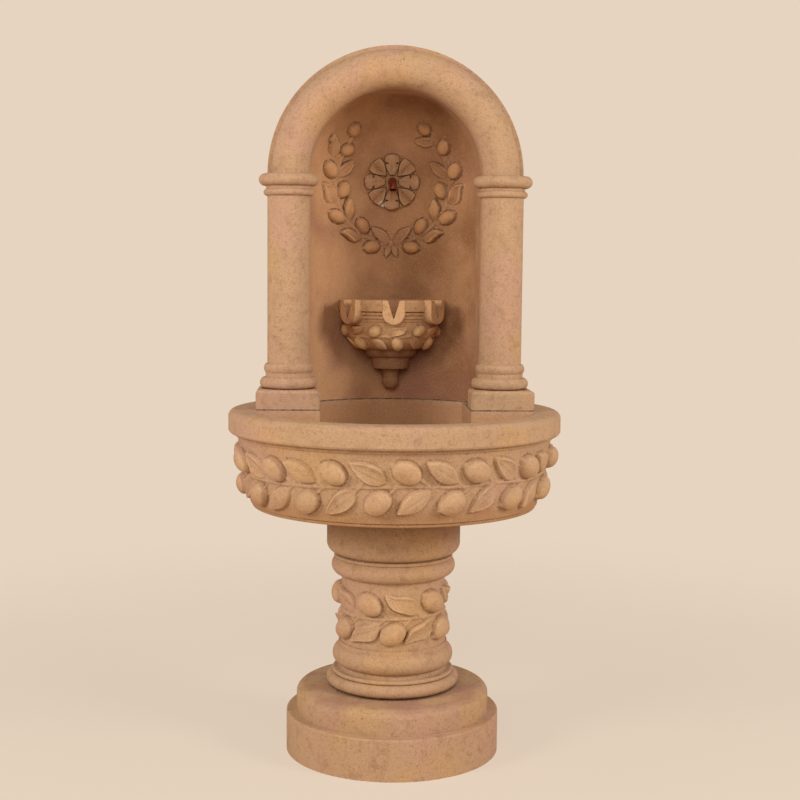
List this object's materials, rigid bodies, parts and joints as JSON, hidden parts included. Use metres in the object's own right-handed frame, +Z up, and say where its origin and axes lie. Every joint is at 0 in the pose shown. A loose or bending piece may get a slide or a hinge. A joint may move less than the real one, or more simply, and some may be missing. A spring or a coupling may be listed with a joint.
{
  "type": "garden wall fountain",
  "caption": "Cast-stone wall fountain: round pedestal, D-shaped basin with fruit frieze, columned niche with wreath, spout and spill bowl, pump and hose inside.",
  "frame": {"origin": "on the floor, on the pedestal's vertical axis", "axes": "+Z up, the front faces -Y, the wall is at +Y, +X to the right seen from the front"},
  "size_m": [0.7119, 0.646, 1.5175],
  "materials": {
    "cast_stone": "matte tan cast stone, rubbed patina",
    "niche_stone": "matte tan cast stone, brown patina in the niche",
    "rosette_stone": "matte dark brown cast stone",
    "mortar": "matte setting mortar",
    "steel": "satin stainless",
    "brass": "dull brass",
    "copper": "tarnished copper",
    "rubber": "matte black rubber",
    "hose_vinyl": "black vinyl tube",
    "pump_plastic": "fine-textured black plastic",
    "dial_plastic": "dark grey plastic",
    "impeller_plastic": "natural plastic",
    "ferrite": "dark sintered magnet",
    "shaft_ceramic": "ground ceramic"
  },
  "bodies": {
    "fountain": {"base_bedding": "mortar", "base_plinth": "cast_stone", "basin": "cast_stone", "bracket_bolts": "steel", "bracket_inserts": "brass", "cord_gland": "rubber", "drain_bush": "brass", "hose_clamps": "steel", "hose_grommet": "rubber", "locating_pins": "steel", "niche_back": "niche_stone", "niche_bedding": "mortar", "pedestal_bedding": "mortar", "pedestal_column": "cast_stone", "pipe_sleeve": "rubber", "pump_feet": "rubber", "pump_housing": "pump_plastic", "pump_outlet_barb": "pump_plastic", "rosette": "rosette_stone", "rotor_shaft": "shaft_ceramic", "spill_bowl": "niche_stone", "spill_bowl_studs": "steel", "spout_elbow": "brass", "spout_pipe": "copper", "supply_hose": "hose_vinyl", "volute_cover": "pump_plastic", "wall_brackets": "steel"},
    "rotor": {"rotor_magnet": "ferrite", "impeller": "impeller_plastic"},
    "screen": {"intake_screen": "pump_plastic"},
    "regulator": {"flow_regulator": "dial_plastic"},
    "stopper": {"drain_stopper": "rubber", "stopper_ring": "steel"}
  },
  "joints": [
    {"name": "rotor_spin", "type": "hinge", "parent": "fountain", "child": "rotor", "pos_m": [0, 0.072, 0.621], "axis": [1, 0, 0], "continuous": true},
    {"name": "screen_pull", "type": "slide", "parent": "fountain", "child": "screen", "axis": [-1, 0, 0], "range_m": [0, 0.045]},
    {"name": "regulator_turn", "type": "hinge", "parent": "screen", "child": "regulator", "pos_m": [-0.037, 0.072, 0.621], "axis": [-1, 0, 0], "range_deg": [0, 120]},
    {"name": "stopper_lift", "type": "slide", "parent": "fountain", "child": "stopper", "axis": [0, 0, 1], "range_m": [0, 0.06]}
  ]
}
